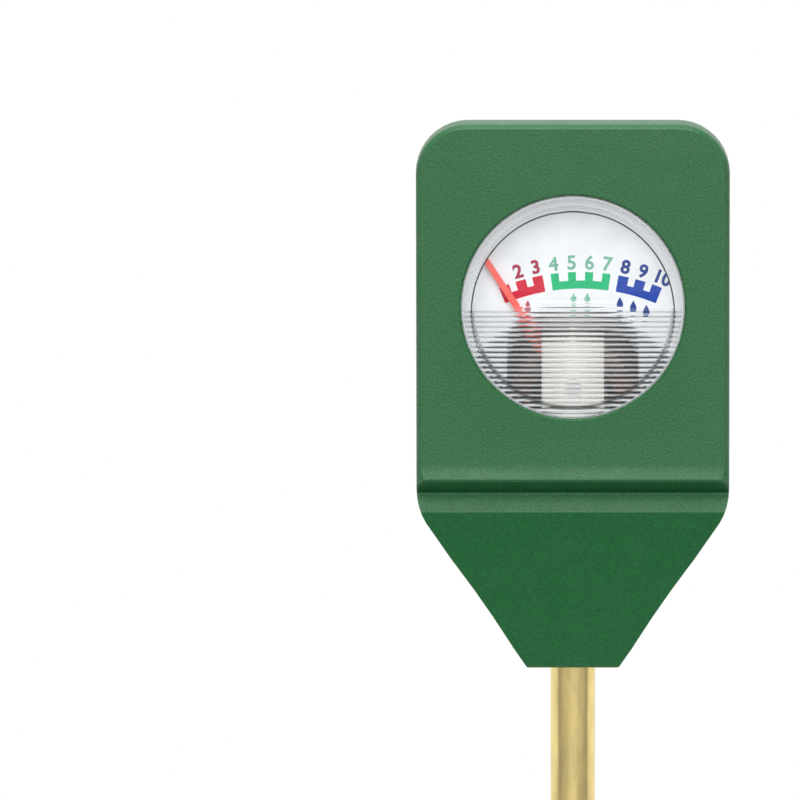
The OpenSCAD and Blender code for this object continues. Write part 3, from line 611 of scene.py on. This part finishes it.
def make_lens():
    """The lens as one closed mesh: a domed and ribbed front, a rounded rim, a flange and a
    skirt."""
    rim_y = lens_low.y + LENS_DOME
    flange_front_y = lens_high.y - LENS_FLANGE_T
    inner_y = rim_y + LENS_WALL
    flange_r = (lens_high.x - lens_low.x) / 2
    grid_r = LENS_R - LENS_RIM_ROUND
    bm = bmesh.new()
    layers = [bm.verts.layers.float.new(name) for name in LENS_SHADES]
    front, groove, crest_highlight, ribbed, frost_and_highlight, line = layers
    rows = []
    for z in lens_rows(grid_r):
        half = math.sqrt(grid_r * grid_r - z * z)
        row = []
        for i in range(LENS_COLUMNS + 1):
            x = half * (2 * i / LENS_COLUMNS - 1)
            vert = bm.verts.new((x, rim_y - lens_depth(x, z), window.z + z))
            vert[front] = 1
            # The painted shade and highlights of the ribs.
            vert[groove], vert[crest_highlight], vert[ribbed] = rib_shades(x, z)
            row.append(vert)
        rows.append(row)
    for upper, lower in zip(rows, rows[1:]):
        for i in range(LENS_COLUMNS):
            bm.faces.new((upper[i], upper[i + 1], lower[i + 1], lower[i]))
    right, left = [r[-1] for r in rows[1:-1]], [r[0] for r in rows[-2:0:-1]]
    edge = rows[0] + right + rows[-1][::-1] + left

    def ring(radius, y=None, behind=0.0, drop=0.0, layer=None):
        """A ring of verts from the grid's edge, at a depth or some way behind the edge."""
        made = []
        for v in edge:
            flat = Vector((v.co.x, v.co.z - window.z)).normalized() * radius
            depth = v.co.y + behind if y is None else y
            vert = bm.verts.new((flat.x, depth, window.z + flat.y - drop))
            if layer:
                vert[layer] = 1
            made.append(vert)
        return made

    rings = [edge]
    # The rim's rounding gets the frosted white that paints its highlight.
    for angle in (30, 60, 90):
        out = LENS_RIM_ROUND * math.sin(math.radians(angle))
        back = LENS_RIM_ROUND * (1 - math.cos(math.radians(angle)))
        rings.append(ring(grid_r + out, behind=back, layer=frost_and_highlight))
    back_y, skirt_y = lens_high.y, lens_high.y - SKIRT_BEVEL
    rings.append(ring(LENS_R, flange_front_y))
    rings.append(ring(flange_r, flange_front_y))
    rings.append(ring(flange_r, back_y, layer=frost_and_highlight))
    # radius, depth and layer of the rings round the skirt's edge and up its inside; the layers
    # mark the frosted white beside the edge and the painted shade on it
    for radius, y, layer in (
        (SKIRT_R + SKIRT_BEVEL + BLEND_W, back_y, frost_and_highlight),
        (SKIRT_R + SKIRT_BEVEL, back_y, line),
        (SKIRT_R, skirt_y, line),
        (SKIRT_R, skirt_y - BLEND_W, None),
        (SKIRT_R, inner_y, None),
    ):
        rings.append(ring(radius, y, drop=SKIRT_DROP, layer=layer))
    count = len(edge)
    for outer, inner in zip(rings, rings[1:]):
        for i in range(count):
            j = (i + 1) % count
            bm.faces.new((outer[i], outer[j], inner[j], inner[i]))
    bm.faces.new(rings[-1])
    smooth_mesh(bm, SMOOTH_LENS)
    material = MATERIALS["clear_plastic"]
    piece = place(finished(bm, "lens_body"), "lens_body", material, "clear_plastic")
    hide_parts("lens")


# ---------------------------------------------------------------- printed scale
# "tooth" is half a tooth's width as an angle, "bold" is how much the numbers are thickened,
# and "comb" and "text" are the inks.
ZONES = [
    {"name": "dry", "digits": range(1, 4), "tooth": math.radians(1.4), "bold": 0.035,
     "comb": srgb(214, 20, 56), "text": srgb(178, 44, 80)},
    {"name": "moist", "digits": range(4, 8), "tooth": math.radians(1.08), "bold": 0.02,
     "comb": srgb(20, 190, 124), "text": srgb(118, 190, 160)},
    {"name": "wet", "digits": range(8, 11), "tooth": math.radians(1.4), "bold": 0.035,
     "comb": srgb(12, 66, 172), "text": srgb(28, 62, 146)},
]


def on_scale(radius, angle):
    """A point on the dial, from the scale's own centre below the pointer's axis."""
    x = SCALE_SHIFT + radius * math.sin(angle)
    z = axis_z - SCALE_DROP + radius * math.cos(angle)
    return x, z


def digit_angle(digit):
    return (digit - MIDDLE_DIGIT) * STEP


def arc(radius, start, end, steps):
    return [on_scale(radius, start + (end - start) * i / steps) for i in range(steps + 1)]


def comb_outline(digits, half):
    """A band along the scale with a tooth at each digit, as one closed outline."""
    first, last = digit_angle(digits[0]) - half, digit_angle(digits[-1]) + half
    points = arc(BAND_IN, last, first, BAND_STEPS)
    for digit in digits:
        middle = digit_angle(digit)
        left, right = middle - half, middle + half
        if digit != digits[0]:
            points.append(on_scale(BAND_OUT, left))
        points += [on_scale(TOOTH_OUT, left), on_scale(TOOTH_OUT, right)]
        if digit != digits[-1]:
            points.append(on_scale(BAND_OUT, right))
    return points


def drop_outline(centre, height, steps=20):
    """A water drop: round below and pointed above."""
    points = []
    for i in range(steps):
        t = 2 * math.pi * i / steps
        width = DROP_HALF_W * math.sin(t) * math.sin(t / 2) ** DROP_POINT
        points.append((centre[0] + height * width, centre[1] + height * 0.5 * math.cos(t)))
    return points


def printed(name, outlines, material):
    """A layer of ink on the dial's face."""
    bm = bmesh.new()
    for outline in outlines:
        front = [bm.verts.new((x, dial_y - INK_T, z)) for x, z in outline]
        back = [bm.verts.new((x, dial_y, z)) for x, z in outline]
        bm.faces.new(front)
        bm.faces.new(back[::-1])
        for i in range(len(outline)):
            j = (i + 1) % len(outline)
            bm.faces.new((front[j], front[i], back[i], back[j]))
    bmesh.ops.recalc_face_normals(bm, faces=bm.faces)
    bmesh.ops.triangulate(bm, faces=bm.faces)
    return place(finished(bm, name), name, material, "white_plastic")


def number_mesh(text, bold):
    """A number as a flat mesh of unit height, centred on its origin and facing -Y."""
    curve = bpy.data.curves.new("number", "FONT")
    curve.body = text
    curve.align_x, curve.align_y = "CENTER", "CENTER"
    curve.bevel_depth = bold
    curve.bevel_resolution = 0
    source = bpy.data.objects.new("number", curve)
    bpy.context.scene.collection.objects.link(source)
    bpy.context.view_layer.update()
    evaluated = source.evaluated_get(bpy.context.evaluated_depsgraph_get())
    mesh = bpy.data.meshes.new_from_object(evaluated)
    bpy.data.objects.remove(source)
    bpy.data.curves.remove(curve)
    ys = [v.co.y for v in mesh.vertices]
    xs = [v.co.x for v in mesh.vertices]
    height = max(ys) - min(ys)
    middle = Vector(((max(xs) + min(xs)) / 2, (max(ys) + min(ys)) / 2, 0))
    for v in mesh.vertices:
        v.co = (v.co - middle) / height
        v.co.z = math.copysign(0.5, v.co.z) if abs(v.co.z) > 1e-6 else 0
    return mesh


def make_digits(zone, material):
    """The numbers of one zone, each upright on the scale's radius."""
    bm = bmesh.new()
    for digit in zone["digits"]:
        mesh = number_mesh(str(digit), zone["bold"])
        angle = digit_angle(digit + END_SHIFT.get(digit, 0))
        x, z = on_scale(DIGIT_R, angle)
        upright = Matrix.Rotation(math.radians(90), 4, "X")
        size = Matrix.Diagonal((DIGIT_H, DIGIT_H, INK_T, 1))
        spot = Matrix.Translation((x, dial_y - INK_T / 2, z))
        mesh.transform(spot @ Matrix.Rotation(angle, 4, "Y") @ upright @ size)
        bm.from_mesh(mesh)
        bpy.data.meshes.remove(mesh)
    bmesh.ops.remove_doubles(bm, verts=bm.verts, dist=1e-7)
    name = f"digits_{zone['name']}"
    place(finished(bm, name), name, material, "white_plastic")


def make_scale():
    """For each zone a comb, its numbers, and one drop for dry, two for moist, three for wet."""
    for count, zone in enumerate(ZONES, 1):
        name = zone["name"]
        digits = list(zone["digits"])
        comb_ink = ink(f"comb_ink_{name}", zone["comb"])
        printed(f"comb_{name}", [comb_outline(digits, zone["tooth"])], comb_ink)
        text_ink = ink(f"text_ink_{name}", zone["text"])
        make_digits(zone, text_ink)
        middle = (digit_angle(digits[0]) + digit_angle(digits[-1])) / 2
        spread = [(i - (count - 1) / 2) * ICON_STEP for i in range(count)]
        icons = [drop_outline(on_scale(ICON_R, middle + a), ICON_H) for a in spread]
        printed(f"drops_{name}", icons, text_ink)


# ---------------------------------------------------------------- studio
def facing(obj, location, target):
    """Puts a lamp or camera at a place, turned to a target."""
    obj.location = location
    obj.rotation_euler = (Vector(target) - Vector(location)).to_track_quat("-Z", "Y").to_euler()
    bpy.context.scene.collection.objects.link(obj)


def make_lights():
    for name, (location, width, height, power) in LAMPS.items():
        data = bpy.data.lights.new(name, "AREA")
        data.shape = "RECTANGLE"
        data.size, data.size_y = width, height
        data.energy = power
        facing(bpy.data.objects.new(name, data), location, LAMP_AIM)


def seen_rays(add, link, glossy=None):
    """1 for the rays that show the background: the camera's own, those through clear
    plastic, and those off shiny surfaces, or another share of these."""
    path = add("ShaderNodeLightPath")
    both, seen = [add("ShaderNodeMath", operation="MAXIMUM") for _ in range(2)]
    link(glossy or path.outputs["Is Glossy Ray"], both.inputs[0])
    link(path.outputs["Is Transmission Ray"], both.inputs[1])
    link(path.outputs["Is Camera Ray"], seen.inputs[0])
    link(both.outputs["Value"], seen.inputs[1])
    return seen.outputs["Value"]


def make_world():
    """White where the camera and clear plastic look through and where metal shows what is
    behind, and a studio elsewhere: bright in front and above, darker at the sides and below."""
    world = bpy.data.worlds.new("studio")
    bpy.context.scene.world = world
    world.use_nodes = True
    tree = world.node_tree
    tree.nodes.clear()
    link = tree.links.new
    add = adder(tree)

    def levels(value, stops):
        """Brightness along a value from 0 to 1, smooth between the stops."""
        ramp = add("ShaderNodeValToRGB")
        ramp.color_ramp.interpolation = "EASE"
        while len(ramp.color_ramp.elements) < len(stops):
            ramp.color_ramp.elements.new(0.5)
        for element, (position, level) in zip(ramp.color_ramp.elements, stops):
            element.position = position
            element.color = (level, level, level, 1)
        link(value, ramp.inputs["Fac"])
        return ramp.outputs["Color"]

    def half_scale(value):
        """Maps -1 to 1 onto 0 to 1."""
        made = add("ShaderNodeMath", operation="MULTIPLY_ADD")
        made.inputs[1].default_value = made.inputs[2].default_value = 0.5
        link(value, made.inputs[0])
        return made.outputs["Value"]

    direction = add("ShaderNodeSeparateXYZ")
    flat = add("ShaderNodeVectorMath", operation="MULTIPLY")
    flat.inputs[1].default_value = (1, 1, 0)
    unit = add("ShaderNodeVectorMath", operation="NORMALIZE")
    around = add("ShaderNodeSeparateXYZ")
    coords = add("ShaderNodeTexCoord").outputs["Generated"]
    link(coords, direction.inputs["Vector"])
    link(coords, flat.inputs[0])
    link(flat.outputs["Vector"], unit.inputs[0])
    link(unit.outputs["Vector"], around.inputs["Vector"])
    towards_back = half_scale(around.outputs["Y"])
    sides = levels(towards_back, STUDIO_AROUND)
    height = levels(half_scale(direction.outputs["Z"]), STUDIO_HEIGHT)
    both = add("ShaderNodeMix", data_type="RGBA", blend_type="MULTIPLY")
    both.inputs["Factor"].default_value = 1
    link(sides, both.inputs["A"])
    link(height, both.inputs["B"])

    path = add("ShaderNodeLightPath")
    back = add("ShaderNodeMath", operation="MULTIPLY")
    link(path.outputs["Is Glossy Ray"], back.inputs[0])
    link(levels(towards_back, STUDIO_BACK), back.inputs[1])
    seen = seen_rays(add, link, back.outputs["Value"])
    studio = add("ShaderNodeBackground")
    link(both.outputs["Result"], studio.inputs["Color"])
    white = add("ShaderNodeBackground")
    white.inputs["Color"].default_value = (1, 1, 1, 1)
    mix = add("ShaderNodeMixShader")
    link(seen, mix.inputs["Fac"])
    link(studio.outputs["Background"], mix.inputs[1])
    link(white.outputs["Background"], mix.inputs[2])
    link(mix.outputs["Shader"], add("ShaderNodeOutputWorld").inputs["Surface"])


def make_floor():
    """A pale disc under the probe's tip, which fades out into the white background."""
    bm = bmesh.new()
    bmesh.ops.create_circle(bm, cap_ends=True, segments=96, radius=FLOOR_R)
    for v in bm.verts:
        v.co.z = cad_box[0].z - FLOOR_GAP
    floor = bpy.data.objects.new("floor", finished(bm, "floor"))
    bpy.context.scene.collection.objects.link(floor)
    paint = Paint("floor", srgb(225, 225, 226), 0.8)
    unseen = (FLOOR_UNSEEN, FLOOR_UNSEEN, FLOOR_UNSEEN, 1)
    shade = paint.ramp(seen_rays(paint.node, paint.link), unseen, paint.colour, at=(0, 1))
    paint.link(shade, paint.shader.inputs["Base Color"])
    through = paint.node("ShaderNodeBsdfTransparent")
    fade = paint.node("ShaderNodeMapRange", interpolation_type="SMOOTHSTEP")
    fade.inputs["From Min"].default_value = FLOOR_R * FLOOR_FADE[0]
    fade.inputs["From Max"].default_value = FLOOR_R * FLOOR_FADE[1]
    paint.link(paint.away(plane=(1, 1, 0)), fade.inputs["Value"])
    surface = paint.shader.outputs["BSDF"]
    paint.show(paint.mixed(fade.outputs["Result"], surface, through.outputs["BSDF"]))
    floor.data.materials.append(paint.material)


def make_camera():
    """A long lens in front of the head, a little above it."""
    face = Vector((0, face_y, VIEW_Z))
    rise = CAMERA_DISTANCE * math.tan(math.radians(CAMERA_ELEVATION))
    data = bpy.data.cameras.new("camera")
    data.sensor_width = SENSOR_WIDTH
    data.lens = SENSOR_WIDTH * CAMERA_DISTANCE / VIEW_WIDTH
    data.shift_x = -VIEW_SHIFT / VIEW_WIDTH
    camera = bpy.data.objects.new("camera", data)
    facing(camera, face + Vector((0, -CAMERA_DISTANCE, rise)), face)
    bpy.context.scene.camera = camera


bpy.context.scene.view_settings.view_transform = "Standard"
make_camera()
make_world()
make_lights()
make_floor()
dress_cad_nodes()
make_lens()
make_scale()
